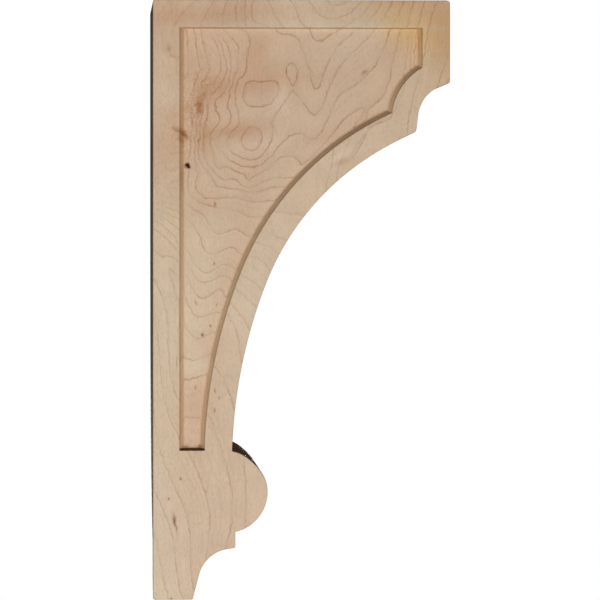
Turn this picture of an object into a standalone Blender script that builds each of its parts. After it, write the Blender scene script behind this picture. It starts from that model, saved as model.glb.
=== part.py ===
"""A wooden corbel bracket, carved from one block.

Units are metres. +X leaves the wall, Y runs across the width and +Z is up. The origin is
the middle of the flat back, which is fixed to the wall.
"""

from math import acos, asin, atan2, cos, pi, radians, sin, tan

import bmesh
import bpy
from mathutils import Vector

NAME = "corbel"

# The block
HEIGHT = 0.3556
PROJECTION = 0.1764
WIDTH = 0.0889

# The front, from the top down: nose, upper cove, long curve, bead, step, lower cove, foot
NOSE_HEIGHT = 0.0494
UPPER_COVE_HEIGHT = 0.0290
UPPER_COVE_REACH = 0.0195
UPPER_COVE_SLOPE = radians(20)
UPPER_COVE_LEAN = radians(7)
LOWER_CURVE_RADIUS = 0.2957
LOWER_CURVE_SWEEP = radians(19.8)
NECK_LEAN = radians(1.6)
NECK_PROJECTION = 0.0470
BEAD_HEIGHT = 0.0482
BEAD_BULGE = 0.0201
STEP_HEIGHT = 0.0094
STEP_PROJECTION = 0.0489
LOWER_COVE_HEIGHT = 0.0307
LOWER_COVE_SLOPE = radians(8)
LOWER_COVE_LEAN = radians(14.5)
FOOT_PROJECTION = 0.0235
COVE_RADIUS = 0.0208

# Sanded corners of the outline, and the eased edge round each side
NOSE_TOP_RADIUS = 0.0022
NOSE_LOW_RADIUS = 0.0012
LIP_RADIUS = 0.0012
STEP_RADIUS = 0.0012
BACK_CORNER_RADIUS = 0.0012
EDGE_EASING = 0.0009

# The sunken panel in each side: its distance from each part of the outline, and its wall,
# which is steeper along the level top and bottom
PANEL_MARGIN = 0.0164
PANEL_BACK_MARGIN = 0.0157
PANEL_COVE_MARGIN = 0.0157
PANEL_DEPTH = 0.0046
PANEL_SIDE_SLOPE = radians(58.5)
PANEL_SIDE_FILLET = 0.0020
PANEL_END_SLOPE = radians(77)
PANEL_END_FILLET = 0.0020
CUTTER_OVERSHOOT = 0.0020

# How finely the round stretches are divided
CURVE_STEPS = 16
BEAD_STEPS = 24
COVE_STEPS = 10
CORNER_STEPS = 4
FILLET_STEPS = 3
EASING_SEGMENTS = 2

# Edges that turn more than these angles are shaded sharp, or eased, and welds closer than this
SHARP_ANGLE = radians(30)
EASED_ANGLE = radians(80)
FLAT_ANGLE = radians(0.1)
WELD_DISTANCE = 1e-6

# Sanded, unfinished maple
MAPLE_COLOUR = (0.58, 0.40, 0.27, 1.0)
MAPLE_ROUGHNESS = 0.6
MAPLE_METALLIC = 0.0

# Heights and corners of the outline that several shapes share, as distance from the wall and height
TOP = HEIGHT / 2
BOTTOM = -HEIGHT / 2
NOSE_LOW = Vector((PROJECTION, TOP - NOSE_HEIGHT))
LIP = NOSE_LOW - Vector((UPPER_COVE_REACH, UPPER_COVE_HEIGHT))
FOOT = Vector((FOOT_PROJECTION, BOTTOM))
STEP_LOW = Vector((STEP_PROJECTION, BOTTOM + LOWER_COVE_HEIGHT))
STEP_TOP = STEP_LOW + Vector((0, STEP_HEIGHT))
NECK = Vector((NECK_PROJECTION, STEP_TOP.y + BEAD_HEIGHT))


def clear_scene():
    """Remove every object, so that the script gives the same scene each time."""
    for thing in list(bpy.data.objects):
        bpy.data.objects.remove(thing, do_unlink=True)


def at_angle(angle):
    """Unit vector of the profile's plane at an angle from +X towards +Z."""
    return Vector((cos(angle), sin(angle)))


def angle_of(vector):
    """Angle of a vector from +X towards +Z."""
    return atan2(vector.y, vector.x)


def arc(centre, radius, start, end, steps):
    """Points on a circle from one angle to another, with both ends."""
    turn = (end - start) / steps
    return [centre + radius * at_angle(start + turn * step) for step in range(steps + 1)]


def fillet(before, corner, after, radius):
    """Centre, radius and the two tangent points of the round that eases a corner.

    Each tangent point is radius times the tangent of half the turn away from the corner. The
    radius is limited by the shorter of the two straight sides.
    """
    back = (before - corner).normalized()
    on = (after - corner).normalized()
    half_turn = (pi - acos(back.dot(on))) / 2
    room = min((before - corner).length, (after - corner).length)
    radius = min(radius, room / tan(half_turn))
    setback = radius * tan(half_turn)
    centre = corner + (back + on).normalized() * (radius / cos(half_turn))
    return centre, radius, corner + back * setback, corner + on * setback


def rounded(before, corner, after, radius, steps):
    """Points of a fillet from its first tangent point to its last, the short way round."""
    centre, radius, first, last = fillet(before, corner, after, radius)
    start = angle_of(first - centre)
    turn = (angle_of(last - centre) - start + pi) % (2 * pi) - pi
    return arc(centre, radius, start, start + turn, steps)


def cove_corner(start, slope, end, lean):
    """Where a cove's two straight ends would meet.

    One line leaves the start towards the wall and falls by the slope; the other rises from
    the end and leans away from the wall.
    """
    along = Vector((-cos(slope), -sin(slope)))
    up = Vector((sin(lean), cos(lean)))
    gap = end - start
    reach = (gap.x * up.y - gap.y * up.x) / (along.x * up.y - along.y * up.x)
    return start + along * reach


def meeting_point(centre, radius, other_centre, other_radius):
    """Where two circles meet, on the left of the way from the first centre to the other.

    The law of cosines gives the angle at the first centre.
    """
    between = other_centre - centre
    apart = between.length
    cosine = (radius ** 2 + apart ** 2 - other_radius ** 2) / (2 * radius * apart)
    return centre + radius * at_angle(angle_of(between) + acos(cosine))


def upper_curve():
    """Centre and radius of the long curve's upper arc.

    It carries on from the lower arc's end without a corner and ends at the lip. Its radius is
    the square of the distance between those two points, over twice that distance's reach
    towards the lower arc's centre.
    """
    inward = -at_angle(BLEND_ANGLE)
    blend = LOWER_CENTRE - inward * LOWER_CURVE_RADIUS
    to_lip = LIP - blend
    radius = to_lip.length_squared / (2 * to_lip.dot(inward))
    return blend + inward * radius, radius


UPPER_COVE_CORNER = cove_corner(NOSE_LOW, UPPER_COVE_SLOPE, LIP, UPPER_COVE_LEAN)
LOWER_COVE_CORNER = cove_corner(STEP_LOW, LOWER_COVE_SLOPE, FOOT, LOWER_COVE_LEAN)
LOWER_CENTRE = NECK + LOWER_CURVE_RADIUS * at_angle(-NECK_LEAN)
BLEND_ANGLE = pi - NECK_LEAN - LOWER_CURVE_SWEEP
UPPER_CENTRE, UPPER_CURVE_RADIUS = upper_curve()


def long_curve(offset, start, end):
    """The two arcs of the long front curve, from a start angle to an end angle.

    A positive offset moves the curve into the wood, as the edge of the side panel needs.
    """
    upper = arc(UPPER_CENTRE, UPPER_CURVE_RADIUS + offset, start, BLEND_ANGLE, CURVE_STEPS)
    lower = arc(LOWER_CENTRE, LOWER_CURVE_RADIUS + offset, BLEND_ANGLE, end, CURVE_STEPS)
    return upper + lower[1:]


def bead():
    """The round bead from the neck to the step, as the arc through both that bulges so far.

    Its radius is the square of half its height plus the square of its bulge, over twice the
    bulge.
    """
    chord = STEP_TOP - NECK
    half = chord.length / 2
    radius = (half ** 2 + BEAD_BULGE ** 2) / (2 * BEAD_BULGE)
    outward = Vector((-chord.y, chord.x)).normalized()
    centre = (NECK + STEP_TOP) / 2 + outward * (BEAD_BULGE - radius)
    start = angle_of(NECK - centre)
    end = angle_of(STEP_TOP - centre)
    return arc(centre, radius, start, end, BEAD_STEPS)


def profile():
    """The outline of the block from the side, from the foot of the back round to the foot."""
    back_low = Vector((0, BOTTOM))
    back_top = Vector((0, TOP))
    nose_top = Vector((PROJECTION, TOP))
    start = angle_of(LIP - UPPER_CENTRE) % (2 * pi)
    end = angle_of(NECK - LOWER_CENTRE) % (2 * pi)
    curve = long_curve(0, start, end)
    points = rounded(FOOT, back_low, back_top, BACK_CORNER_RADIUS, CORNER_STEPS)
    points += rounded(back_low, back_top, nose_top, BACK_CORNER_RADIUS, CORNER_STEPS)
    points += rounded(back_top, nose_top, NOSE_LOW, NOSE_TOP_RADIUS, CORNER_STEPS)
    points += rounded(nose_top, NOSE_LOW, UPPER_COVE_CORNER, NOSE_LOW_RADIUS, CORNER_STEPS)
    points += rounded(NOSE_LOW, UPPER_COVE_CORNER, LIP, COVE_RADIUS, COVE_STEPS)
    points += rounded(UPPER_COVE_CORNER, LIP, curve[1], LIP_RADIUS, CORNER_STEPS)
    points += curve[1:-1]
    points += bead()
    points += rounded(STEP_TOP, STEP_LOW, LOWER_COVE_CORNER, STEP_RADIUS, CORNER_STEPS)
    points += rounded(STEP_LOW, LOWER_COVE_CORNER, FOOT, COVE_RADIUS, COVE_STEPS)
    points += rounded(LOWER_COVE_CORNER, FOOT, back_low, BACK_CORNER_RADIUS, CORNER_STEPS)
    return points


def panel_outline(inset, end_inset):
    """The panel's outline, drawn in from its edge on the side face.

    Each stretch is the block's own outline moved into the wood, and the level top and bottom
    have an inset of their own. The cove's circle meets the nose's line at one end and the
    long curve's circle at the other, in crisp corners.
    """
    left = PANEL_BACK_MARGIN + inset
    right = PROJECTION - PANEL_MARGIN - inset
    top = TOP - PANEL_MARGIN - end_inset
    low = NECK.y + end_inset
    margin = PANEL_MARGIN + inset

    centre, radius, _, _ = fillet(NOSE_LOW, UPPER_COVE_CORNER, LIP, COVE_RADIUS)
    radius += PANEL_COVE_MARGIN + inset
    corner = meeting_point(UPPER_CENTRE, UPPER_CURVE_RADIUS + margin, centre, radius)
    start = pi - acos((centre.x - right) / radius)
    cove = arc(centre, radius, start, angle_of(corner - centre) % (2 * pi), COVE_STEPS)

    curve_start = angle_of(corner - UPPER_CENTRE) % (2 * pi)
    curve_end = pi - asin((low - LOWER_CENTRE.y) / (LOWER_CURVE_RADIUS + margin))
    curve = long_curve(margin, curve_start, curve_end)
    return [Vector((left, low)), Vector((left, top)), Vector((right, top))] + cove[:-1] + curve


def wall_run(depth, slope, fillet_radius):
    """How far in the panel's wall has come at a depth.

    It runs down its slope by the depth over the slope's tangent, then turns into the floor on
    a radius, where the cosine of the angle left to turn grows by the extra depth over that
    radius.
    """
    straight = PANEL_DEPTH - fillet_radius * (1 - cos(slope))
    if depth <= straight:
        return depth / tan(slope)
    left_to_turn = acos(min(1, cos(slope) + (depth - straight) / fillet_radius))
    return straight / tan(slope) + fillet_radius * (sin(slope) - sin(left_to_turn))


def panel_wall():
    """The cutter's insets, its insets at the level ends, and its depths.

    It starts outside the wood. The depths are the ones where either fillet starts or has
    turned by equal steps.
    """
    depths = [-CUTTER_OVERSHOOT]
    for slope, radius in (
        (PANEL_SIDE_SLOPE, PANEL_SIDE_FILLET),
        (PANEL_END_SLOPE, PANEL_END_FILLET),
    ):
        for step in range(FILLET_STEPS):
            angle = slope * (1 - step / FILLET_STEPS)
            depths.append(PANEL_DEPTH - radius * (1 - cos(angle)))
    depths.append(PANEL_DEPTH)
    steps = []
    for depth in sorted(depths):
        side = wall_run(depth, PANEL_SIDE_SLOPE, PANEL_SIDE_FILLET)
        end = wall_run(depth, PANEL_END_SLOPE, PANEL_END_FILLET)
        steps.append((side, end, depth))
    return steps


def maple():
    """Pale sanded maple."""
    material = bpy.data.materials.new("maple")
    material.use_nodes = True
    shader = material.node_tree.nodes["Principled BSDF"]
    shader.inputs["Base Color"].default_value = MAPLE_COLOUR
    shader.inputs["Roughness"].default_value = MAPLE_ROUGHNESS
    shader.inputs["Metallic"].default_value = MAPLE_METALLIC
    material.diffuse_color = MAPLE_COLOUR
    return material


def carved_block(collection):
    """The outline as a filled curve, made a mesh, with its edges eased."""
    curve = bpy.data.curves.new(NAME, "CURVE")
    curve.dimensions = "2D"
    curve.fill_mode = "BOTH"
    curve.extrude = WIDTH / 2
    points = profile()
    spline = curve.splines.new("POLY")
    spline.points.add(len(points) - 1)
    for target, point in zip(spline.points, points):
        target.co = (point.x, point.y, 0, 1)
    spline.use_cyclic_u = True
    drawing = bpy.data.objects.new("outline", curve)
    drawing.rotation_euler = (pi / 2, 0, 0)
    collection.objects.link(drawing)
    bpy.context.view_layer.update()

    evaluated = drawing.evaluated_get(bpy.context.evaluated_depsgraph_get())
    mesh = bpy.data.meshes.new_from_object(evaluated)
    block = bpy.data.objects.new(NAME, mesh)
    block.matrix_world = drawing.matrix_world.copy()
    collection.objects.link(block)
    bpy.data.objects.remove(drawing, do_unlink=True)

    shape = bmesh.new()
    shape.from_mesh(mesh)
    bmesh.ops.remove_doubles(shape, verts=shape.verts, dist=WELD_DISTANCE)
    bmesh.ops.dissolve_limit(shape, angle_limit=FLAT_ANGLE, verts=shape.verts, edges=shape.edges)
    bmesh.ops.recalc_face_normals(shape, faces=shape.faces)
    shape.to_mesh(mesh)
    shape.free()
    mesh.shade_smooth()
    mesh.set_sharp_from_angle(angle=SHARP_ANGLE)

    easing = block.modifiers.new("eased edges", "BEVEL")
    easing.width = EDGE_EASING
    easing.segments = EASING_SEGMENTS
    easing.limit_method = "ANGLE"
    easing.angle_limit = EASED_ANGLE
    return block


def panel_cutter(side, collection):
    """The solid that one side's panel removes, lofted through the wall's insets."""
    shape = bmesh.new()
    loops = []
    for inset, end_inset, depth in panel_wall():
        y = side * (WIDTH / 2 - depth)
        points = panel_outline(inset, end_inset)
        ring = [shape.verts.new((point.x, y, point.y)) for point in points]
        loops.append(ring)
    for outer, inner in zip(loops, loops[1:]):
        for here in range(len(outer)):
            following = (here + 1) % len(outer)
            shape.faces.new((outer[here], outer[following], inner[following], inner[here]))
    shape.faces.new(loops[0])
    shape.faces.new(loops[-1])
    bmesh.ops.recalc_face_normals(shape, faces=shape.faces)
    mesh = bpy.data.meshes.new("panel cutter")
    shape.to_mesh(mesh)
    shape.free()
    mesh.shade_smooth()
    mesh.set_sharp_from_angle(angle=SHARP_ANGLE)
    cutter = bpy.data.objects.new("panel cutter", mesh)
    cutter.hide_render = True
    cutter.display_type = "WIRE"
    collection.objects.link(cutter)
    return cutter


def build():
    """Make the block and sink a panel into each of its sides."""
    clear_scene()
    parts = bpy.data.collections.new("corbel bracket")
    cutters = bpy.data.collections.new("cutters")
    bpy.context.scene.collection.children.link(parts)
    bpy.context.scene.collection.children.link(cutters)
    block = carved_block(parts)
    block.data.materials.append(maple())
    for side in (-1, 1):
        cut = block.modifiers.new("side panel", "BOOLEAN")
        cut.operation = "DIFFERENCE"
        cut.solver = "EXACT"
        cut.object = panel_cutter(side, cutters)


build()
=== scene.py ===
"""The look of a carved maple corbel bracket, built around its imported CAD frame.

+X leaves the wall, Y runs across the width and +Z is up, in metres. The photographed side
faces -Y.
"""

from math import acos, cos, pi, radians, sin, tan

import bmesh
import bpy
import numpy as np
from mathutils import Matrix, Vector
from mathutils.geometry import tessellate_polygon


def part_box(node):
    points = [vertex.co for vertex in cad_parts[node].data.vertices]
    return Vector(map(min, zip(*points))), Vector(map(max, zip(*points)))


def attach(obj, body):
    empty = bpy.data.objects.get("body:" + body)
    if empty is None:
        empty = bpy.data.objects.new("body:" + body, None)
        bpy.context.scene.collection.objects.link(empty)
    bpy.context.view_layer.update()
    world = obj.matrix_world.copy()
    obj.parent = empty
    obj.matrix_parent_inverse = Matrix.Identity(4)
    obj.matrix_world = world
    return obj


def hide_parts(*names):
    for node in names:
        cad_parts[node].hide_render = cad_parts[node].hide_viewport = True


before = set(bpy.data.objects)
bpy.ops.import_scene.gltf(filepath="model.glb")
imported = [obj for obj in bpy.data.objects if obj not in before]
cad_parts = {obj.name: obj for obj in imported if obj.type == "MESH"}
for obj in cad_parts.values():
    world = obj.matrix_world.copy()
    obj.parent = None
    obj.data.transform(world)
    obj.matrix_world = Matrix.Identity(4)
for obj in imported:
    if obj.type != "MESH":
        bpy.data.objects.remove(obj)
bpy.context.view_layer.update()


# The carved block
# One block of maple, sawn to the outline and sanded, with a shallow panel routed into each
# side. The long grain runs down the bracket and the flat back is fixed to the wall.

corbel_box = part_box("corbel")
projection, width, height = (float(high - low) for low, high in zip(*corbel_box))
top = height / 2
bottom = -height / 2

nose_low = np.array([projection, top - 0.0489])
curve_top = np.array([projection - 0.0195, top - 0.0784])
lip = curve_top + np.array([-0.0006, 0.0005])
lip_reach = 0.008
lip_radius = 0.0022
upper_cove_slope = radians(20)
upper_cove_lean = radians(7)
foot = np.array([0.0235, bottom])
step_low = np.array([0.0489, bottom + 0.0307])
step_top = step_low + np.array([0, 0.0094])
lower_cove_slope = radians(8)
lower_cove_lean = radians(14.5)
neck = np.array([0.0470, step_top[1] + 0.0482])
cove_radius = 0.0208
bead_bulge = 0.0201
bead_flat = 0.0010
bead_flat_angle = radians(46)
bead_flat_spread = radians(23)
lower_radius = 0.2957
lower_sweep = radians(19.8)
neck_lean = radians(1.6)

nose_top_radius = 0.0022
corner_radius = 0.0012
easing = 0.0007
support = 0.0002
back_lean = 0.0015
back_lean_end = -0.154
back_lean_reach = 0.1 * projection

corner_steps = 6
nose_top_steps = 8
cove_steps = 24
bead_steps = 72
upper_curve_steps = 70
lower_curve_steps = 60
straight_step = 0.004


def at_angle(angle):
    """Unit vector, or one row for each angle, at an angle from +X towards +Z."""
    return np.stack([np.cos(angle), np.sin(angle)], axis=-1)


def angle_of(vector):
    """Angle of a vector from +X towards +Z, between nought and a full turn."""
    return np.arctan2(vector[1], vector[0]) % (2 * pi)


def unit(vector):
    """The vector divided by its length."""
    return vector / np.linalg.norm(vector)


def arc(centre, radius, start, end, steps):
    """Points on a circle at equal angles from start to end, with both ends."""
    return centre + radius * at_angle(np.linspace(start, end, steps + 1))


def line(start, end, steps):
    """Points at equal distances from start up to, but without, the end."""
    share = np.arange(steps)[:, None] / steps
    return start + (end - start) * share


def fillet(before, corner, after, radius):
    """Centre and two tangent points of the round that eases a corner.

    Each tangent point is radius times the tangent of half the turn away from the corner.
    """
    back = unit(before - corner)
    on = unit(after - corner)
    half_turn = (pi - acos(back @ on)) / 2
    setback = radius * tan(half_turn)
    centre = corner + unit(back + on) * radius / cos(half_turn)
    return centre, corner + back * setback, corner + on * setback


def rounded(before, corner, after, radius, steps):
    """Points of a fillet from its first tangent point to its last, the short way round."""
    centre, first, last = fillet(before, corner, after, radius)
    start = angle_of(first - centre)
    turn = (angle_of(last - centre) - start + pi) % (2 * pi) - pi
    return arc(centre, radius, start, start + turn, steps)


def cove_corner(start, slope, end, lean):
    """Where the line that falls towards the wall meets the line that rises from the end."""
    along = np.array([-cos(slope), -sin(slope)])
    up = np.array([sin(lean), cos(lean)])
    gap = end - start
    reach = (gap[0] * up[1] - gap[1] * up[0]) / (along[0] * up[1] - along[1] * up[0])
    return start + along * reach


upper_cove_corner = cove_corner(nose_low, upper_cove_slope, lip, upper_cove_lean)
lower_cove_corner = cove_corner(step_low, lower_cove_slope, foot, lower_cove_lean)

# The long curve is two arcs that meet without a corner. The upper one's radius is the square
# of the distance from the meeting point to its top, over twice that distance's reach inward.
lower_centre = neck + lower_radius * at_angle(-neck_lean)
blend_angle = pi - neck_lean - lower_sweep
inward = -at_angle(blend_angle)
blend = lower_centre - inward * lower_radius
to_top = curve_top - blend
upper_radius = (to_top @ to_top) / (2 * to_top @ inward)
upper_centre = blend + inward * upper_radius


def long_curve(offset, start, end):
    """Both arcs of the long curve, moved into the wood by the offset."""
    upper = arc(upper_centre, upper_radius + offset, start, blend_angle, upper_curve_steps)
    lower = arc(lower_centre, lower_radius + offset, blend_angle, end, lower_curve_steps)
    return np.concatenate([upper, lower[1:]])


def bead():
    """The arc through the neck and the step's top that bulges so far from their chord.

    Its radius is the square of half the chord plus the square of the bulge, over twice the
    bulge. It is sanded flatter at the upper front: there the radius is less by the flat
    times e to the power of minus the squared angle from the flat's middle, in spreads.
    """
    chord = step_top - neck
    half = np.linalg.norm(chord) / 2
    radius = (half ** 2 + bead_bulge ** 2) / (2 * bead_bulge)
    outward = unit(np.array([-chord[1], chord[0]]))
    centre = (neck + step_top) / 2 + outward * (bead_bulge - radius)
    start = angle_of(neck - centre)
    end = angle_of(step_top - centre)
    angles = np.linspace(start, end - 2 * pi if end > start else end, bead_steps + 1)
    dip = bead_flat * np.exp(-((angles - bead_flat_angle) / bead_flat_spread) ** 2)
    return centre + (radius - dip)[:, None] * at_angle(angles)


def outline():
    """The block from the side, from the foot of the back up, over the nose and down the front.

    The long curve's top is sanded up to the lip: each point moves by the lip's distance from
    the top times e to the power of minus its own distance from the top, in reaches.
    """
    back_low = np.array([0, bottom])
    back_top = np.array([0, top])
    nose_top = np.array([projection, top])
    curve = long_curve(0, angle_of(curve_top - upper_centre), angle_of(neck - lower_centre))
    from_top = np.linalg.norm(curve - curve_top, axis=1, keepdims=True)
    curve = curve + (lip - curve_top) * np.exp(-from_top / lip_reach)
    lip_corner = rounded(upper_cove_corner, lip, curve[1], lip_radius, corner_steps)
    corners = [
        rounded(foot, back_low, back_top, corner_radius, corner_steps),
        rounded(back_low, back_top, nose_top, corner_radius, corner_steps),
        rounded(back_top, nose_top, nose_low, nose_top_radius, nose_top_steps),
        rounded(nose_top, nose_low, upper_cove_corner, corner_radius, corner_steps),
        rounded(nose_low, upper_cove_corner, lip, cove_radius, cove_steps),
        np.concatenate([lip_corner, curve[2:-1]]),
        bead(),
        rounded(step_top, step_low, lower_cove_corner, corner_radius, corner_steps),
        rounded(step_low, lower_cove_corner, foot, cove_radius, cove_steps),
        rounded(lower_cove_corner, foot, back_low, corner_radius, corner_steps),
    ]
    pieces = []
    for here, following in zip(corners, corners[1:] + corners[:1]):
        gap = np.linalg.norm(following[0] - here[-1])
        straight = line(here[-1], following[0], max(1, round(gap / straight_step)))
        pieces.append(here[:-1])
        pieces.append(straight)
    return np.concatenate(pieces)


def inset(points, distance):
    """The closed outline moved into the wood.

    Each point moves along the sum of its two sides' normals, over one plus their product,
    so that both sides move by the distance.
    """
    along = np.roll(points, -1, axis=0) - points
    along = along / np.linalg.norm(along, axis=1, keepdims=True)
    normal = np.stack([along[:, 1], -along[:, 0]], axis=1)
    earlier = np.roll(normal, 1, axis=0)
    share = 1 + (normal * earlier).sum(axis=1, keepdims=True)
    return points + (normal + earlier) / share * distance


panel_margin = 0.0164
panel_back_margin = 0.0157
panel_cove_margin = 0.0157
panel_foot_rise = 0.0002
panel_cove_drop = 0.0011
panel_depth = 0.0046
side_slope = radians(58.5)
side_fillet = 0.0020
low_slope = radians(77)
low_fillet = 0.0020
high_slope = radians(84)
high_fillet = 0.0006


def panel_outline(distance, low_distance, high_distance):
    """The panel's edge drawn in, each stretch the block's outline moved inward.

    The level bottom and top each move by a distance of their own. The cove's circle meets
    the long curve's circle where the law of cosines puts it.
    """
    left = panel_back_margin + distance
    right = projection - panel_margin - distance
    high = top - panel_margin - high_distance
    low = neck[1] + panel_foot_rise + low_distance
    margin = panel_margin + distance

    block_centre, _, _ = fillet(nose_low, upper_cove_corner, lip, cove_radius)
    centre = block_centre - np.array([0, panel_cove_drop])
    radius = cove_radius + panel_cove_margin + distance
    between = centre - upper_centre
    apart = np.linalg.norm(between)
    curve_radius = upper_radius + margin
    cosine = (curve_radius ** 2 + apart ** 2 - radius ** 2) / (2 * curve_radius * apart)
    corner = upper_centre + curve_radius * at_angle(angle_of(between) + acos(cosine))
    cove_start = pi - acos((centre[0] - right) / radius)
    cove = arc(centre, radius, cove_start, angle_of(corner - centre), 40)

    curve_end = pi - np.arcsin((low - lower_centre[1]) / (lower_radius + margin))
    curve = long_curve(margin, angle_of(corner - upper_centre), curve_end)
    low_left = np.array([left, low])
    high_left = np.array([left, high])
    high_right = np.array([right, high])
    return np.concatenate([
        line(low_left, high_left, 60),
        line(high_left, high_right, 40),
        line(high_right, cove[0], 10),
        cove[:-1],
        curve[:-1],
        line(curve[-1], low_left, 6),
    ])


def wall_run(depths, slope, radius):
    """How far the panel's wall has come in at each depth.

    It runs straight down its slope, by the depth over the slope's tangent, and then turns
    into the floor on a radius. There the cosine of the angle left to turn grows by the extra
    depth over the radius.
    """
    straight = panel_depth - radius * (1 - cos(slope))
    beyond = np.clip((depths - straight) / radius + cos(slope), cos(slope), 1)
    turned = radius * (sin(slope) - np.sin(np.arccos(beyond)))
    return np.minimum(depths, straight) / tan(slope) + turned


def panel_wall():
    """Each ring's distances in at the sides, the bottom and the top, its depth and steepness.

    The depths are closer together towards the floor. One more ring at either end keeps the
    flat faces beside the wall flat. The steepness is one on the slope and fades over the
    fillet, as the root of the share of the fillet's depth that is left.
    """
    depths = panel_depth * np.sin(np.linspace(0, pi / 2, 15))
    moves = [
        wall_run(depths, side_slope, side_fillet),
        wall_run(depths, low_slope, low_fillet),
        wall_run(depths, high_slope, high_fillet),
    ]
    rows = [np.concatenate([[-support], move, [move[-1] + support]]) for move in moves]
    left_to_turn = (panel_depth - depths) / (side_fillet * (1 - cos(side_slope)))
    steep = np.sqrt(np.clip(left_to_turn, 0, 1))
    rows.append(np.concatenate([[0], depths, [panel_depth]]))
    rows.append(np.concatenate([[0], steep, [0]]))
    return np.stack(rows, axis=1).tolist()


def trued(points):
    """The far side's outline where the back was planed out of true towards the foot.

    The back moves in by the lean, times the sixth power of the share of the way down. The
    move fades with the square of the nearness to the back, over a tenth of the projection.
    """
    down = np.clip((top - points[:, 1]) / (top - back_lean_end), 0, 1)
    near_back = np.clip(1 - points[:, 0] / back_lean_reach, 0, 1)
    move = back_lean * down ** 6 * near_back ** 2
    return points + np.stack([move, np.zeros(len(points))], axis=1)


def in_space(points, y):
    """Points of the outline's plane set at a distance across the width."""
    return np.stack([points[:, 0], np.full(len(points), y), points[:, 1]], axis=1)


def bridge(first, second, count):
    """Quads between two closed rings of vertices that start at the given numbers."""
    here = np.arange(count)
    following = (here + 1) % count
    return np.stack([first + here, first + following, second + following, second + here], axis=1)


def fill(rings, starts):
    """Triangles that fill a flat outline, less its hole when there is a second ring."""
    flat = [[Vector((x, z, 0)) for x, _, z in ring] for ring in rings]
    numbers = np.concatenate([start + np.arange(len(ring)) for ring, start in zip(rings, starts)])
    return numbers[np.array(tessellate_polygon(flat))]


def end_grain(points):
    """How squarely each side of a closed outline cuts the long grain, which runs up.

    It is the square of the level share of the direction from one neighbour to the other.
    """
    along = np.roll(points, -1, axis=0) - np.roll(points, 1, axis=0)
    return (along[:, 0] / np.linalg.norm(along, axis=1)) ** 2


def carved_block():
    """Vertices and faces of the block, and for each vertex its wall share and end grain.

    Rings go from the middle of the width over each eased edge, across the side's margin and
    down the panel's wall. Quads join them, and the flat margins and floors are filled. The
    wall share is nought but on the panel's wall.
    """
    block = outline()
    turn = np.linspace(0, pi / 2, 7)
    edge = list(zip(easing * (1 - np.cos(turn)), easing * (1 - np.sin(turn)), np.cos(turn)))
    edge.append((easing + support / 2, 0, 0))
    rings = []
    shares = []
    faces = []
    starts = {}

    def add_ring(points, y, wall, outward):
        start = sum(len(ring) for ring in rings)
        rings.append(in_space(trued(points) if y > 0 else points, y))
        shares.append(np.stack([np.full(len(points), wall), outward * end_grain(points)]))
        return start

    for side in (-1, 1):
        block_starts = []
        for move, drop, outward in edge:
            y = side * (width / 2 - drop)
            block_starts.append(add_ring(inset(block, move), y, 0, outward))
        margin_ring = rings[-1]
        panel_starts = []
        for move, low_move, high_move, drop, steep in panel_wall():
            y = side * (width / 2 - drop)
            points = panel_outline(move, low_move, high_move)
            panel_starts.append(add_ring(points, y, steep, 0.4 * steep))
        panel_ring = rings[-len(panel_starts)]
        for first, second in zip(block_starts, block_starts[1:]):
            faces.append((side, bridge(first, second, len(block))))
        for first, second in zip(panel_starts, panel_starts[1:]):
            faces.append((side, bridge(first, second, len(panel_ring))))
        triangles = fill([margin_ring, panel_ring], [block_starts[-1], panel_starts[0]])
        faces.append((side, triangles))
        faces.append((side, fill([rings[-1]], [panel_starts[-1]])))
        starts[side] = block_starts[0]
    faces.append((1, bridge(starts[-1], starts[1], len(block))))
    return np.concatenate(rings), faces, np.concatenate(shares, axis=1)


def mesh_piece(name, vertices, face_groups, material):
    """An object at the origin from vertices and groups of faces, with its faces outward."""
    mesh = bpy.data.meshes.new(name)
    every_face = [face for _, group in face_groups for face in group.tolist()]
    mesh.from_pydata(vertices.tolist(), [], every_face)
    piece = bpy.data.objects.new(name, mesh)
    bpy.context.scene.collection.objects.link(piece)
    shape = bmesh.new()
    shape.from_mesh(mesh)
    bmesh.ops.recalc_face_normals(shape, faces=shape.faces)
    shape.to_mesh(mesh)
    shape.free()
    mesh.shade_smooth()
    mesh.set_sharp_from_angle(angle=radians(30))
    mesh.materials.append(material)
    return piece


def linear(hex_colour):
    """Linear colour with full alpha from an sRGB hex value."""
    channels = np.array([int(hex_colour[at:at + 2], 16) for at in (0, 2, 4)]) / 255
    low = channels / 12.92
    high = ((channels + 0.055) / 1.055) ** 2.4
    return (*np.where(channels <= 0.04045, low, high).tolist(), 1.0)


def add_node(tree, kind, settings=None, inputs=None):
    """A node of a kind, with its settings, and with values or links put into its inputs."""
    node = tree.nodes.new(kind)
    for name, value in (settings or {}).items():
        setattr(node, name, value)
    for name, value in (inputs or {}).items():
        if isinstance(value, bpy.types.NodeSocket):
            tree.links.new(value, node.inputs[name])
        else:
            node.inputs[name].default_value = value
    return node


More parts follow.
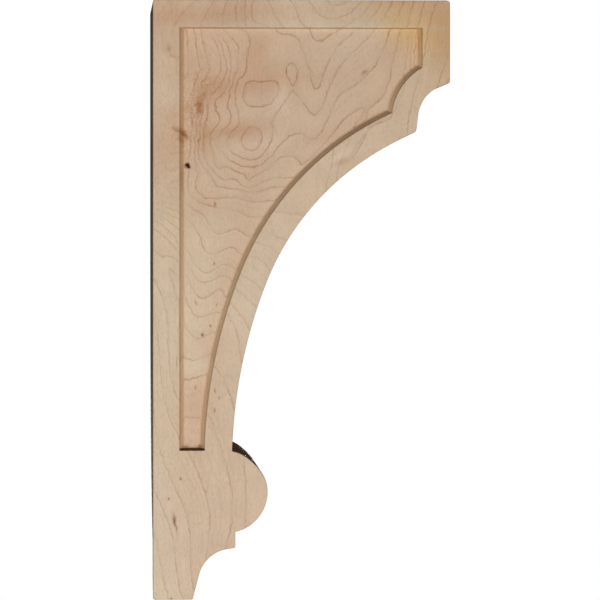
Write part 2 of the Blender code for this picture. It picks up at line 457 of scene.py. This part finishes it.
# The growth rings bend over hills and hollows. Each row is one: its middle as distance from
# the wall and height, its two half-widths, its turn in degrees, and its rise in rings, with
# all lengths in mm. The rings also tilt evenly, by so many rings for each mm.
panel_tilt = (-15.42, 0.0629, 0.0326)
panel_hills = (
    (45, 169.7, 14.7, 19.9, -35, 4.24),
    (113.8, 165.3, 8.5, 16.2, -82, 0.95),
    (82.7, 156.6, 34.6, 45.6, -35, 5.48),
    (171.1, 151.4, 21.2, 43.2, 0, -9.67),
    (151.3, 149, 4.9, 15.7, -4, 1.05),
    (38.7, 145.8, 4.7, 45.8, 15, -0.91),
    (69.2, 139.9, 7.4, 17.2, -18, -1.62),
    (54.6, 135.7, 6, 31.7, 89, -0.46),
    (37.5, 128.3, 4.8, 9.1, 25, -0.85),
    (79.3, 119.6, 9.7, 37.3, -9, -4.46),
    (97.6, 113.5, 7.2, 21.6, -9, 1.34),
    (78, 112.4, 10.3, 22.8, -7, 3.76),
    (64.2, 108.4, 14, 24.4, -83, -2.81),
    (41.2, 106.4, 7.7, 9, 87, -1.16),
    (102.3, 97.6, 7.8, 37.7, -33, 0.97),
    (22.4, 96.2, 5.5, 27.3, -7, -1.82),
    (118.8, 95.8, 5, 15.7, -31, 1.3),
    (46.1, 87, 35.5, 51.8, -35, 12.43),
    (35.9, 78.4, 20.5, 27.3, 3, -4.32),
    (38.5, 77.6, 4, 10.8, 38, 1.09),
    (83.2, 76.5, 4.9, 18.5, -74, 0.62),
    (56.5, 69.7, 4, 5.4, -87, 0.87),
    (33.1, 64.3, 7.1, 10.3, 90, 1.41),
    (45.9, 63.9, 20.8, 36, -48, -2.76),
    (21.5, 27.7, 6.8, 15.7, 35, 0.76),
    (31.6, 15.9, 11.7, 45.8, -12, 1.67),
    (51.9, 15, 6.8, 27.9, -14, 1.11),
    (37.9, 8.5, 6.5, 10.9, -67, -0.54),
    (27.4, -29.6, 8.2, 13, -53, 0.4),
    (40.1, -52.6, 19.7, 45.2, -7, -1.63),
)
side_tilt = (-17.08, 0.077, 0.0265)
side_hills = (
    (91.9, 182.6, 34.3, 41.5, -59, 11.52),
    (88.6, 177.7, 16.6, 22.1, -82, -4.22),
    (187.7, 176.9, 37.8, 45.7, 14, -6.61),
    (5.5, 151.9, 46.1, 47.6, -30, 5.96),
    (55.7, 132.7, 5, 45.1, -6, 1.26),
    (162.6, 118.4, 15, 47, -11, -3.34),
    (13.4, 97.8, 16.6, 47, -27, 5.19),
    (115.5, 81.5, 5.4, 22.8, -29, 1.55),
    (22.3, 62.4, 10.7, 28.1, -86, 2.91),
    (45.6, 53.7, 41.4, 49.5, -90, 4.13),
    (63.5, 27.9, 10.4, 14.1, 64, -0.71),
    (24, 11.5, 6.5, 34.9, 38, -1.56),
    (18.1, -36.1, 13.7, 35.2, -6, 1.78),
    (0.5, -98.9, 34.7, 45.4, 37, 1.08),
    (61, -114.7, 9, 46.2, -4, 0.84),
    (52.2, -171.8, 36, 46.7, -88, 2.48),
)
ring_thickness = 3.2
small_step = 0.3


def add_bump(tree, place, middle, half_widths, turn):
    """The share of an oval bump, one in its middle and nearly nothing beyond twice its width.

    It is e to the power of minus the squared distance from the middle, in half-widths. The
    distance along either axis is the place times the axis, less the middle times the axis.
    """
    square = 0.0
    for axis, half_width in zip(at_angle(radians(turn) + np.array([0, pi / 2])), half_widths):
        distance = add_node(tree, "ShaderNodeVectorMath", {"operation": "DOT_PRODUCT"}, {
            0: place,
            1: (*(axis / half_width), -axis @ middle / half_width),
        })
        square = add_node(tree, "ShaderNodeMath", {"operation": "MULTIPLY_ADD"}, {
            0: distance.outputs["Value"],
            1: distance.outputs["Value"],
            2: square,
        }).outputs[0]
    share = add_node(tree, "ShaderNodeMath", {"operation": "POWER"}, {0: np.exp(-1), 1: square})
    return share.outputs[0]


def add_rings(tree, place, tilt, hills):
    """The rings' height at a place: the even tilt plus every hill's rise times its bump."""
    level, across, up = tilt
    plane = add_node(tree, "ShaderNodeVectorMath", {"operation": "DOT_PRODUCT"}, {
        0: place,
        1: (across, up, 0),
    })
    height = add_node(tree, "ShaderNodeMath", {"operation": "ADD"}, {
        0: plane.outputs["Value"],
        1: level,
    })
    for x, z, narrow, wide, turn, rise in hills:
        height = add_node(tree, "ShaderNodeMath", {"operation": "MULTIPLY_ADD"}, {
            0: add_bump(tree, place, (x, z), (narrow, wide), turn),
            1: rise,
            2: height.outputs[0],
        })
    return height.outputs[0]


def ring_group():
    """A group that gives the rings' height at a place and a share of the panel's depth."""
    tree = bpy.data.node_groups.new("growth rings", "ShaderNodeTree")
    tree.interface.new_socket("Place", in_out="INPUT", socket_type="NodeSocketVector")
    tree.interface.new_socket("Depth", in_out="INPUT", socket_type="NodeSocketFloat")
    tree.interface.new_socket("Height", in_out="OUTPUT", socket_type="NodeSocketFloat")
    given = add_node(tree, "NodeGroupInput")
    both = add_node(tree, "ShaderNodeMix", None, {
        "Factor": given.outputs["Depth"],
        "A": add_rings(tree, given.outputs["Place"], side_tilt, side_hills),
        "B": add_rings(tree, given.outputs["Place"], panel_tilt, panel_hills),
    })
    add_node(tree, "NodeGroupOutput", None, {"Height": both.outputs[0]})
    return tree


# Broad changes of tone, and a thin painted highlight along the panel's top edge: middle and
# half-widths in mm, turn, and the share by which red, green and blue rise
tones_and_highlight = (
    ((-16.5, 269.7), (35.6, 102.2), 17, (-0.03, -0.23, -0.38)),
    ((146.5, 193.8), (25.3, 89.3), 38, (-0.17, -0.35, -0.56)),
    ((89.7, 192.5), (16.2, 31.3), -41, (0.17, 0.21, 0.24)),
    ((27.2, 169.9), (12.8, 66.3), 28, (0.06, 0.1, 0.13)),
    ((42.8, 169.8), (7.7, 51.3), -85, (-0.13, -0.24, -0.28)),
    ((140.6, 163.8), (9.4, 39.2), -61, (0.05, 0.09, 0.13)),
    # Painted highlight: a thin pale band across the panel's floor just under its top wall
    ((101.9, 161.1), (2.3, 88.4), -90, (0.01, 0.09, 0.15)),
    ((148.8, 159.9), (10.5, 18), 66, (0.04, 0.01, -0.16)),
    ((156.9, 153.7), (8.4, 19.9), -10, (0.1, 0.13, 0.15)),
    ((61.9, 146.7), (7, 11.5), -23, (-0.06, -0.16, -0.22)),
    ((53.3, 127.9), (8, 43.5), -83, (-0.09, -0.19, -0.25)),
    ((13.8, 121.8), (10, 12.9), -85, (0.1, 0.22, 0.3)),
    ((76.4, 120.2), (5.7, 12.5), -11, (0.11, 0.15, 0.19)),
    ((16.9, 107.1), (16.9, 43.8), -36, (-0.05, -0.16, -0.22)),
    ((48.6, 99.6), (5.8, 17.1), -86, (-0.18, -0.37, -0.49)),
    ((46, 97), (8.3, 43.7), 82, (0.08, 0.14, 0.17)),
    ((30.6, 96.8), (5.7, 9.8), 2, (-0.13, -0.22, -0.3)),
    ((97.7, 95.3), (4.9, 58.7), -71, (-0.04, -0.07, -0.08)),
    ((110.5, 83.5), (3.8, 8.3), -50, (0.14, 0.17, 0.19)),
    ((71.6, 72.9), (3.9, 4), -53, (0.01, 0.04, 0.03)),
    ((32.2, 57.7), (6.9, 11.1), -48, (-0.07, -0.14, -0.16)),
    ((13.8, 26.1), (4.2, 104.4), 0, (-0.02, -0.06, -0.09)),
    ((34.8, 14.8), (30.8, 53.7), -23, (0.06, 0.15, 0.18)),
    ((43.3, 4.9), (11.2, 94), -13, (-0.06, -0.14, -0.16)),
    ((37.1, -12.6), (11.9, 26.1), -63, (0.05, 0.09, 0.11)),
    ((27.7, -39.8), (7.9, 9), 27, (0.08, 0.19, 0.24)),
    ((14.2, -146.5), (55.6, 90.9), -89, (-0.03, -0.05, -0.03)),
    ((4.2, -160.7), (15.1, 107.3), -1, (0.05, 0.12, 0.13)),
)
# Knots, specks and smears that reach a little way in from the side: the same values
marks = (
    ((20.5, 79.6), (1.0, 1.3), 20, "3C1400", 3.0),
    ((16.6, 99.6), (1.4, 3.4), 48, "8E5C38", 0.8),
    ((19.3, 98.0), (1.3, 3.0), 36, "885432", 0.85),
    ((16.6, 95.6), (1.6, 2.6), 30, "94623C", 0.6),
    ((13.2, 101.0), (1.0, 2.2), 55, "94623C", 0.55),
    ((17.2, 72.0), (1.0, 7.5), 0, "86543C", 0.4),
    ((27.4, 115.0), (1.5, 3.6), 0, "9A5E3C", 0.9),
    ((29.5, 121.5), (1.4, 3.0), -30, "A06A48", 0.6),
    ((20.6, 114.0), (1.6, 3.0), 10, "A87850", 0.5),
    ((9.5, 149.0), (1.2, 2.6), 10, "A06C48", 0.55),
    ((11.5, 144.5), (2.2, 0.8), -20, "A8835A", 0.5),
    ((36.9, 56.8), (0.6, 1.3), 0, "8A5C3C", 0.8),
    ((29.7, -20.8), (0.8, 1.0), 0, "6E4228", 0.9),
    ((34.5, -15.4), (0.5, 0.9), 0, "6E4020", 0.9),
    ((36.3, 21.6), (0.5, 1.1), 0, "7A4C2C", 0.8),
    ((25.6, -1.8), (0.6, 2.0), 0, "905C3A", 0.5),
    ((38.0, -3.0), (0.5, 1.2), -10, "8A5834", 0.6),
    ((14.3, -36.8), (0.4, 3.0), 0, "8E5C3C", 0.6),
    ((25.6, -52.2), (0.7, 1.0), 0, "8A5834", 0.6),
    ((36.9, -54.0), (0.4, 1.4), 0, "7A4C2C", 0.7),
    ((39.3, -58.5), (0.6, 0.9), 0, "7A4C2C", 0.6),
    ((36.9, -65.5), (0.5, 1.3), 0, "7A4C2C", 0.8),
    ((19.4, -87.2), (2.2, 1.2), 0, "744620", 0.6),
    ((27.8, -87.2), (2.0, 1.2), 0, "6E4220", 0.7),
    ((16.7, -105.9), (0.7, 0.9), 0, "80502E", 0.8),
    ((9.0, -117.6), (0.6, 0.8), 0, "7A4C2C", 0.8),
    ((12.6, -130.5), (0.9, 3.2), 12, "804826", 0.9),
    ((13.6, -133.5), (0.5, 4.6), 6, "804826", 0.7),
    ((10.7, -177.2), (0.6, 1.2), 0, "7A4C2C", 0.8),
    ((126, 135.2), (2.2, 0.9), 40, "8A5A38", 0.6),
    ((112, 82), (6.0, 2.2), 25, "98693F", 0.4),
)


def add_tones_and_highlight(tree, colour, place):
    """The colour times one plus the sum of every broad change of tone and the painted highlight at the
    place.
    """
    total = (1, 1, 1)
    for middle, half_widths, turn, change in tones_and_highlight:
        part = add_node(tree, "ShaderNodeVectorMath", {"operation": "SCALE"}, {
            0: change,
            "Scale": add_bump(tree, place, middle, half_widths, turn),
        })
        total = add_node(tree, "ShaderNodeVectorMath", {"operation": "ADD"}, {
            0: total,
            1: part.outputs[0],
        }).outputs[0]
    toned = add_node(tree, "ShaderNodeVectorMath", {"operation": "MULTIPLY"}, {0: colour, 1: total})
    return toned.outputs[0]


def add_stains(tree, colour, place, stains, reach):
    """The colour with each stain mixed in by its bump, its strength and how far it reaches."""
    for middle, half_widths, turn, shade, strength in stains:
        share = add_node(tree, "ShaderNodeMath", {"operation": "MULTIPLY"}, {
            0: add_bump(tree, place, middle, half_widths, turn),
            1: strength,
        })
        reached = add_node(tree, "ShaderNodeMath", {"operation": "MULTIPLY", "use_clamp": True}, {
            0: share.outputs[0],
            1: reach,
        })
        mix = add_node(tree, "ShaderNodeMix", {"data_type": "RGBA"}, {
            "Factor": reached.outputs[0],
            6: colour,
            7: linear(shade),
        })
        colour = mix.outputs[2]
    return colour


def sanded_maple():
    """Pale sanded maple, unfinished: a matt, creamy tan face with fine brown ring lines."""
    material = bpy.data.materials.new("sanded maple")
    material.use_nodes = True
    tree = material.node_tree
    shader = tree.nodes["Principled BSDF"]
    coordinates = add_node(tree, "ShaderNodeTexCoord")
    mm = add_node(tree, "ShaderNodeVectorMath", {"operation": "SCALE"}, {
        0: coordinates.outputs["Object"],
        "Scale": 1000,
    })
    across = add_node(tree, "ShaderNodeSeparateXYZ", None, {0: mm.outputs[0]})

    # Irregular edges: places are moved by half a mm or so before anything is drawn on them,
    # and by more where the grain swirls.
    straight_place = add_node(tree, "ShaderNodeCombineXYZ", None, {
        0: across.outputs[0],
        1: across.outputs[2],
        2: 1.0,
    })
    reach = add_node(tree, "ShaderNodeMath", {"operation": "MULTIPLY_ADD"}, {
        0: add_bump(tree, straight_place.outputs[0], (30, 122), (9, 24), -10),
        1: 5.0,
        2: 3.6,
    })
    wander = add_node(tree, "ShaderNodeTexNoise", None, {
        "Vector": mm.outputs[0],
        "Scale": 1 / 4.5,
        "Detail": 4.0,
        "Roughness": 0.68,
    })
    centred = add_node(tree, "ShaderNodeVectorMath", {"operation": "SUBTRACT"}, {
        0: wander.outputs["Color"],
        1: (0.5, 0.5, 0.5),
    })
    flat = add_node(tree, "ShaderNodeVectorMath", {"operation": "MULTIPLY"}, {
        0: centred.outputs[0],
        1: (1, 1, 0),
    })
    moves = add_node(tree, "ShaderNodeVectorMath", {"operation": "SCALE"}, {
        0: flat.outputs[0],
        "Scale": reach.outputs[0],
    })
    place = add_node(tree, "ShaderNodeVectorMath", {"operation": "ADD"}, {
        0: straight_place.outputs[0],
        1: moves.outputs[0],
    })

    # Depth below the photographed side: over the panel's depth, and what is left beyond it.
    deep = add_node(tree, "ShaderNodeMath", {"operation": "ADD"}, {
        0: across.outputs[1],
        1: 1000 * width / 2,
    })
    depth_share = add_node(tree, "ShaderNodeMath", {"operation": "DIVIDE", "use_clamp": True}, {
        0: deep.outputs[0],
        1: 1000 * panel_depth,
    })
    beyond = add_node(tree, "ShaderNodeMath", {"operation": "SUBTRACT"}, {
        0: deep.outputs[0],
        1: 1000 * panel_depth,
    })
    further = add_node(tree, "ShaderNodeMath", {"operation": "MAXIMUM"}, {0: beyond.outputs[0], 1: 0})
    near = add_node(tree, "ShaderNodeMapRange", None, {
        "Value": deep.outputs[0],
        "From Min": 7,
        "From Max": 14,
        "To Min": 1,
        "To Max": 0,
    })

    # The rings' height, and how steeply it changes, from places a small step to either side.
    group = ring_group()
    heights = []
    for step in ((0, 0, 0), (small_step, 0, 0), (0, small_step, 0)):
        moved = add_node(tree, "ShaderNodeVectorMath", None, {0: place.outputs[0], 1: step})
        heights.append(add_node(tree, "ShaderNodeGroup", {"node_tree": group}, {
            "Place": moved.outputs[0],
            "Depth": depth_share.outputs[0],
        }))
    changes = []
    for height in heights[1:]:
        change = add_node(tree, "ShaderNodeMath", {"operation": "SUBTRACT"}, {
            0: height.outputs[0],
            1: heights[0].outputs[0],
        })
        changes.append(change.outputs[0])
    change = add_node(tree, "ShaderNodeCombineXYZ", None, {0: changes[0], 1: changes[1]})
    steepness = add_node(tree, "ShaderNodeVectorMath", {"operation": "LENGTH"}, {0: change.outputs[0]})
    slope = add_node(tree, "ShaderNodeMath", {"operation": "MULTIPLY_ADD"}, {
        0: steepness.outputs["Value"],
        1: 1 / small_step,
        2: 0.012,
    })
    rings = add_node(tree, "ShaderNodeMath", {"operation": "MULTIPLY_ADD"}, {
        0: further.outputs[0],
        1: 1 / ring_thickness,
        2: heights[0].outputs[0],
    })

    # A thin line where a ring ends, and the darker late wood on one side of it. The lines
    # come and go. They are faint in the upper back corner and strongest round the loops.
    apart = add_node(tree, "ShaderNodeMath", {"operation": "PINGPONG"}, {0: rings.outputs[0], 1: 0.5})
    distance = add_node(tree, "ShaderNodeMath", {"operation": "DIVIDE"}, {
        0: apart.outputs[0],
        1: slope.outputs[0],
    })
    line = add_node(tree, "ShaderNodeMapRange", {"interpolation_type": "SMOOTHSTEP"}, {
        "Value": distance.outputs[0],
        "From Min": 0,
        "From Max": 0.66,
        "To Min": 1,
        "To Max": 0,
    })
    through = add_node(tree, "ShaderNodeMath", {"operation": "FRACT"}, {0: rings.outputs[0]})
    late = add_node(tree, "ShaderNodeMath", {"operation": "POWER"}, {
        0: np.exp(-6),
        1: through.outputs[0],
    })
    patchy = add_node(tree, "ShaderNodeTexNoise", None, {
        "Vector": mm.outputs[0],
        "Scale": 1 / 14,
        "Detail": 3.0,
    })
    strength = add_node(tree, "ShaderNodeMapRange", None, {
        "Value": patchy.outputs[0],
        "From Min": 0.34,
        "From Max": 0.66,
        "To Min": 0.08,
        "To Max": 0.5,
    })
    side_strength = add_node(tree, "ShaderNodeMapRange", None, {
        "Value": depth_share.outputs[0],
        "To Min": 0.72,
        "To Max": 1.0,
    })
    corner = add_bump(tree, place.outputs[0], (6, 125), (15, 62), 0)
    corner_strength = add_node(tree, "ShaderNodeMath", {"operation": "MULTIPLY_ADD"}, {
        0: corner,
        1: -0.7,
        2: side_strength.outputs[0],
    })
    round_strength = add_node(tree, "ShaderNodeMath", {"operation": "MULTIPLY_ADD"}, {
        0: add_bump(tree, place.outputs[0], (66, 118), (26, 34), 0),
        1: 0.5,
        2: corner_strength.outputs[0],
    })
    low_strength = add_node(tree, "ShaderNodeMath", {"operation": "MULTIPLY_ADD"}, {
        0: add_bump(tree, place.outputs[0], (45, 25), (40, 62), 0),
        1: -0.34,
        2: round_strength.outputs[0],
    })
    line_strength = add_node(tree, "ShaderNodeMath", {"operation": "MULTIPLY"}, {
        0: strength.outputs[0],
        1: low_strength.outputs[0],
    })
    line_share = add_node(tree, "ShaderNodeMath", {"operation": "MULTIPLY"}, {
        0: line.outputs[0],
        1: line_strength.outputs[0],
    })
    late_share = add_node(tree, "ShaderNodeMath", {"operation": "MULTIPLY"}, {
        0: late.outputs[0],
        1: line_strength.outputs[0],
    })
    ring_share = add_node(tree, "ShaderNodeMath", {"operation": "MULTIPLY_ADD", "use_clamp": True}, {
        0: late_share.outputs[0],
        1: 0.32,
        2: line_share.outputs[0],
    })
    bands = add_node(tree, "ShaderNodeMath", {"operation": "MULTIPLY"}, {
        0: rings.outputs[0],
        1: 7,
    })
    band = add_node(tree, "ShaderNodeTexNoise", {"noise_dimensions": "1D"}, {
        "W": bands.outputs[0],
        "Scale": 1.0,
        "Detail": 2.0,
    })
    band_tone = add_node(tree, "ShaderNodeMapRange", None, {
        "Value": band.outputs[0],
        "From Min": 0.3,
        "From Max": 0.7,
        "To Min": 0.975,
        "To Max": 1.025,
    })

    # Fibres run up the bracket, and the wood is faintly mottled. A fibre is too fine to show,
    # so the streaks are drawn about half a mm wide.
    fibre_place = add_node(tree, "ShaderNodeMapping", {"vector_type": "TEXTURE"}, {
        "Vector": mm.outputs[0],
        "Scale": (0.8, 0.8, 14),
    })
    fibres = add_node(tree, "ShaderNodeTexNoise", None, {
        "Vector": fibre_place.outputs[0],
        "Scale": 1.0,
        "Detail": 3.0,
        "Roughness": 0.6,
    })
    mottle = add_node(tree, "ShaderNodeTexNoise", None, {
        "Vector": mm.outputs[0],
        "Scale": 1 / 14,
        "Detail": 4.0,
        "Roughness": 0.55,
    })
    fibre_tone = add_node(tree, "ShaderNodeMapRange", None, {
        "Value": fibres.outputs[0],
        "From Min": 0.3,
        "From Max": 0.7,
        "To Min": 0.97,
        "To Max": 1.03,
    })
    mottle_tone = add_node(tree, "ShaderNodeMapRange", None, {
        "Value": mottle.outputs[0],
        "From Min": 0.3,
        "From Max": 0.7,
        "To Min": 0.955,
        "To Max": 1.045,
    })
    soft_tone = add_node(tree, "ShaderNodeMath", {"operation": "MULTIPLY"}, {
        0: fibre_tone.outputs[0],
        1: mottle_tone.outputs[0],
    })
    fleck_place = add_node(tree, "ShaderNodeMapping", {"vector_type": "TEXTURE"}, {
        "Vector": mm.outputs[0],
        "Scale": (0.9, 0.9, 1.8),
    })
    flecks = add_node(tree, "ShaderNodeTexNoise", None, {
        "Vector": fleck_place.outputs[0],
        "Scale": 1.0,
        "Detail": 1.0,
    })
    fleck_tone = add_node(tree, "ShaderNodeMapRange", None, {
        "Value": flecks.outputs[0],
        "From Min": 0.25,
        "From Max": 0.5,
        "To Min": 0.90,
        "To Max": 1.005,
    })
    figured_tone = add_node(tree, "ShaderNodeMath", {"operation": "MULTIPLY"}, {
        0: soft_tone.outputs[0],
        1: band_tone.outputs[0],
    })

    # Curly grain by the knots: fine dark scribbles with paler wood between them.
    curl = add_node(tree, "ShaderNodeTexNoise", None, {
        "Vector": mm.outputs[0],
        "Scale": 1 / 8,
        "Detail": 2.0,
        "Roughness": 0.55,
        "Distortion": 1.5,
    })
    curl_rings = add_node(tree, "ShaderNodeMath", {"operation": "MULTIPLY"}, {0: curl.outputs[0], 1: 7})
    curl_line = add_node(tree, "ShaderNodeMath", {"operation": "PINGPONG"}, {
        0: curl_rings.outputs[0],
        1: 0.5,
    })
    curl_change = add_node(tree, "ShaderNodeMapRange", None, {
        "Value": curl_line.outputs[0],
        "From Min": 0,
        "From Max": 0.3,
        "To Min": -0.17,
        "To Max": 0.05,
    })
    curl_tone = add_node(tree, "ShaderNodeMath", {"operation": "MULTIPLY_ADD"}, {
        0: add_bump(tree, place.outputs[0], (23, 112), (13, 34), -6),
        1: curl_change.outputs[0],
        2: 1.0,
    })
    curled_tone = add_node(tree, "ShaderNodeMath", {"operation": "MULTIPLY"}, {
        0: figured_tone.outputs[0],
        1: curl_tone.outputs[0],
    })
    tone = add_node(tree, "ShaderNodeMath", {"operation": "MULTIPLY"}, {
        0: curled_tone.outputs[0],
        1: fleck_tone.outputs[0],
    })

    # Colours: the wood just inside is a little pinker than its sanded side.
    wood = add_node(tree, "ShaderNodeMix", {"data_type": "RGBA"}, {
        "Factor": depth_share.outputs[0],
        6: linear("C6AF95"),
        7: linear("C5AB91"),
    })
    toned = add_tones_and_highlight(tree, wood.outputs[2], place.outputs[0])
    ringed = add_node(tree, "ShaderNodeMix", {"data_type": "RGBA"}, {
        "Factor": ring_share.outputs[0],
        6: toned,
        7: linear("865A3A"),
    })
    streaked = add_node(tree, "ShaderNodeVectorMath", {"operation": "SCALE"}, {
        0: ringed.outputs[2],
        "Scale": tone.outputs[0],
    })
    marked = add_stains(tree, streaked.outputs[0], place.outputs[0], marks, near.outputs[0])

    # Wood cut across its grain is darker, less so where the cutter has polished it on the
    # panel's walls. The walls are a little warmer. On the photographed side the walls get a
    # painted shade along their outer edge, and a painted shadow at the panel's foot.
    cut_across = add_node(tree, "ShaderNodeAttribute", {"attribute_name": "end grain"})
    ended = add_node(tree, "ShaderNodeMix", {"data_type": "RGBA", "blend_type": "MULTIPLY"}, {
        "Factor": cut_across.outputs["Fac"],
        6: marked,
        7: (0.68, 0.60, 0.52, 1.0),
    })
    wall = add_node(tree, "ShaderNodeAttribute", {"attribute_name": "wall"})
    walled = add_node(tree, "ShaderNodeMix", {"data_type": "RGBA", "blend_type": "MULTIPLY"}, {
        "Factor": wall.outputs["Fac"],
        6: ended.outputs[2],
        7: (1.13, 1.05, 0.93, 1.0),
    })
    # Painted shade: the walls darken in a thin band below their outer edge, as a shadow line.
    painted_rim_shade_band = add_node(tree, "ShaderNodeMapRange", None, {
        "Value": deep.outputs[0],
        "From Min": 0.6,
        "From Max": 1.8,
        "To Min": 1,
        "To Max": 0,
    })
    rim = add_node(tree, "ShaderNodeMath", {"operation": "MULTIPLY"}, {
        0: painted_rim_shade_band.outputs[0],
        1: wall.outputs["Fac"],
    })
    rim_shaded = add_node(tree, "ShaderNodeMix", {"data_type": "RGBA", "blend_type": "MULTIPLY"}, {
        "Factor": rim.outputs[0],
        6: walled.outputs[2],
        7: (0.75, 0.74, 0.72, 1.0),
    })
    # Painted shadow: the panel's upward-facing bottom wall on the photographed side is mixed nearly to
    # black.
    foot_band = add_node(tree, "ShaderNodeMapRange", {"interpolation_type": "SMOOTHSTEP"}, {
        "Value": across.outputs[2],
        "From Min": 1000 * neck[1] + 1.1,
        "From Max": 1000 * neck[1] + 2.1,
        "To Min": 1,
        "To Max": 0,
    })
    foot_edge = add_node(tree, "ShaderNodeMapRange", None, {
        "Value": across.outputs[2],
        "From Min": 1000 * neck[1] + 0.2,
        "From Max": 1000 * neck[1] + 0.9,
        "To Min": 0.4,
        "To Max": 1,
    })
    foot_share = add_node(tree, "ShaderNodeMath", {"operation": "MULTIPLY"}, {
        0: foot_band.outputs[0],
        1: foot_edge.outputs[0],
    })
    near_foot = add_node(tree, "ShaderNodeMath", {"operation": "MULTIPLY"}, {
        0: foot_share.outputs[0],
        1: near.outputs[0],
    })
    painted_foot_shadow = add_node(tree, "ShaderNodeMath", {"operation": "MULTIPLY"}, {
        0: near_foot.outputs[0],
        1: wall.outputs["Fac"],
    })
    foot_shadowed = add_node(tree, "ShaderNodeMix", {"data_type": "RGBA"}, {
        "Factor": painted_foot_shadow.outputs[0],
        6: rim_shaded.outputs[2],
        7: linear("3E1A02"),
    })
    tree.links.new(foot_shadowed.outputs[2], shader.inputs["Base Color"])
    shader.inputs["Roughness"].default_value = 0.6
    shader.inputs["Specular IOR Level"].default_value = 0.08

    relief = add_node(tree, "ShaderNodeBump", None, {
        "Height": fibres.outputs[0],
        "Strength": 0.25,
        "Distance": 0.00012,
    })
    tree.links.new(relief.outputs[0], shader.inputs["Normal"])
    return material


vertices, face_groups, vertex_shares = carved_block()
corbel = mesh_piece("carved_corbel", vertices, face_groups, sanded_maple())
for attribute_name, values in zip(("wall", "end grain"), vertex_shares):
    attribute = corbel.data.attributes.new(attribute_name, "FLOAT", "POINT")
    attribute.data.foreach_set("value", values.astype(np.float32))
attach(corbel, "root")
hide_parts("corbel")


# The floor and the light
# A plain pale disc below the bracket, and soft lights: the main one before the photographed
# side and a little below, one for the far side, one for the bracket's front and one overhead.

floor_height = -0.30
floor_radius = 0.75
floor_sides = 96


def pale_floor():
    """A matt, nearly white surface."""
    material = bpy.data.materials.new("pale floor")
    material.use_nodes = True
    shader = material.node_tree.nodes["Principled BSDF"]
    shader.inputs["Base Color"].default_value = linear("E6E4E0")
    shader.inputs["Roughness"].default_value = 0.9
    return material


rim = floor_radius * at_angle(np.linspace(0, 2 * pi, floor_sides + 1)[:-1])
disc = np.concatenate([rim, np.full((floor_sides, 1), floor_height)], axis=1)
floor_mesh = bpy.data.meshes.new("floor")
floor_mesh.from_pydata(disc.tolist(), [], [list(range(floor_sides))])
floor_mesh.materials.append(pale_floor())
floor = bpy.data.objects.new("floor", floor_mesh)
bpy.context.scene.collection.objects.link(floor)
floor.visible_shadow = False


def soft_light(name, place, target, size, power):
    """A square area light at a place, turned to its target."""
    data = bpy.data.lights.new(name, "AREA")
    data.shape = "SQUARE"
    data.size = size
    data.energy = power
    lamp = bpy.data.objects.new(name, data)
    lamp.location = place
    lamp.rotation_euler = (Vector(target) - Vector(place)).to_track_quat("-Z", "Y").to_euler()
    lamp.visible_camera = False
    bpy.context.scene.collection.objects.link(lamp)
    return lamp


light_target = (0.08, 0, 0)
soft_light("main light", (0, -2.7, -0.82), light_target, 0.75, 77.6)
soft_light("far light", (0.15, 2.3, -0.45), light_target, 0.5, 26)
soft_light("front light", (1.5, 0.5, -1.5), light_target, 0.9, 6)
soft_light("overhead light", (0.08, 0, 1.8), light_target, 0.2, 10)

world = bpy.data.worlds.new("studio")
world.use_nodes = True
tree = world.node_tree
background = tree.nodes["Background"]
output = tree.nodes["World Output"]
background.inputs["Color"].default_value = linear("F2F0EC")
background.inputs["Strength"].default_value = 0.05
backdrop = add_node(tree, "ShaderNodeBackground", None, {"Color": linear("FFFFFF"), "Strength": 1.0})
path = add_node(tree, "ShaderNodeLightPath")
choice = add_node(tree, "ShaderNodeMixShader", None, {
    0: path.outputs["Is Camera Ray"],
    1: background.outputs[0],
    2: backdrop.outputs[0],
})
tree.links.new(choice.outputs[0], output.inputs["Surface"])
bpy.context.scene.world = world
bpy.context.scene.view_settings.view_transform = "Standard"


# The camera
# Level with the upper half of the bracket, before its near side and a little left of its
# back. The shift and the small turn put the bracket in the middle of the frame.

camera_distance = 1.5275
camera_place = (-0.030, -width / 2 - camera_distance, 0.040)
camera_drop = radians(0.603)
camera_turn = radians(1.651)

camera_data = bpy.data.cameras.new("camera")
camera_data.lens = 154.85
camera_data.sensor_width = 36
camera_data.shift_x = 0.2056
camera_data.shift_y = -0.0671
camera = bpy.data.objects.new("camera", camera_data)
camera.location = camera_place
camera.rotation_euler = (pi / 2 - camera_drop, 0, -camera_turn)
bpy.context.scene.collection.objects.link(camera)
bpy.context.scene.camera = camera
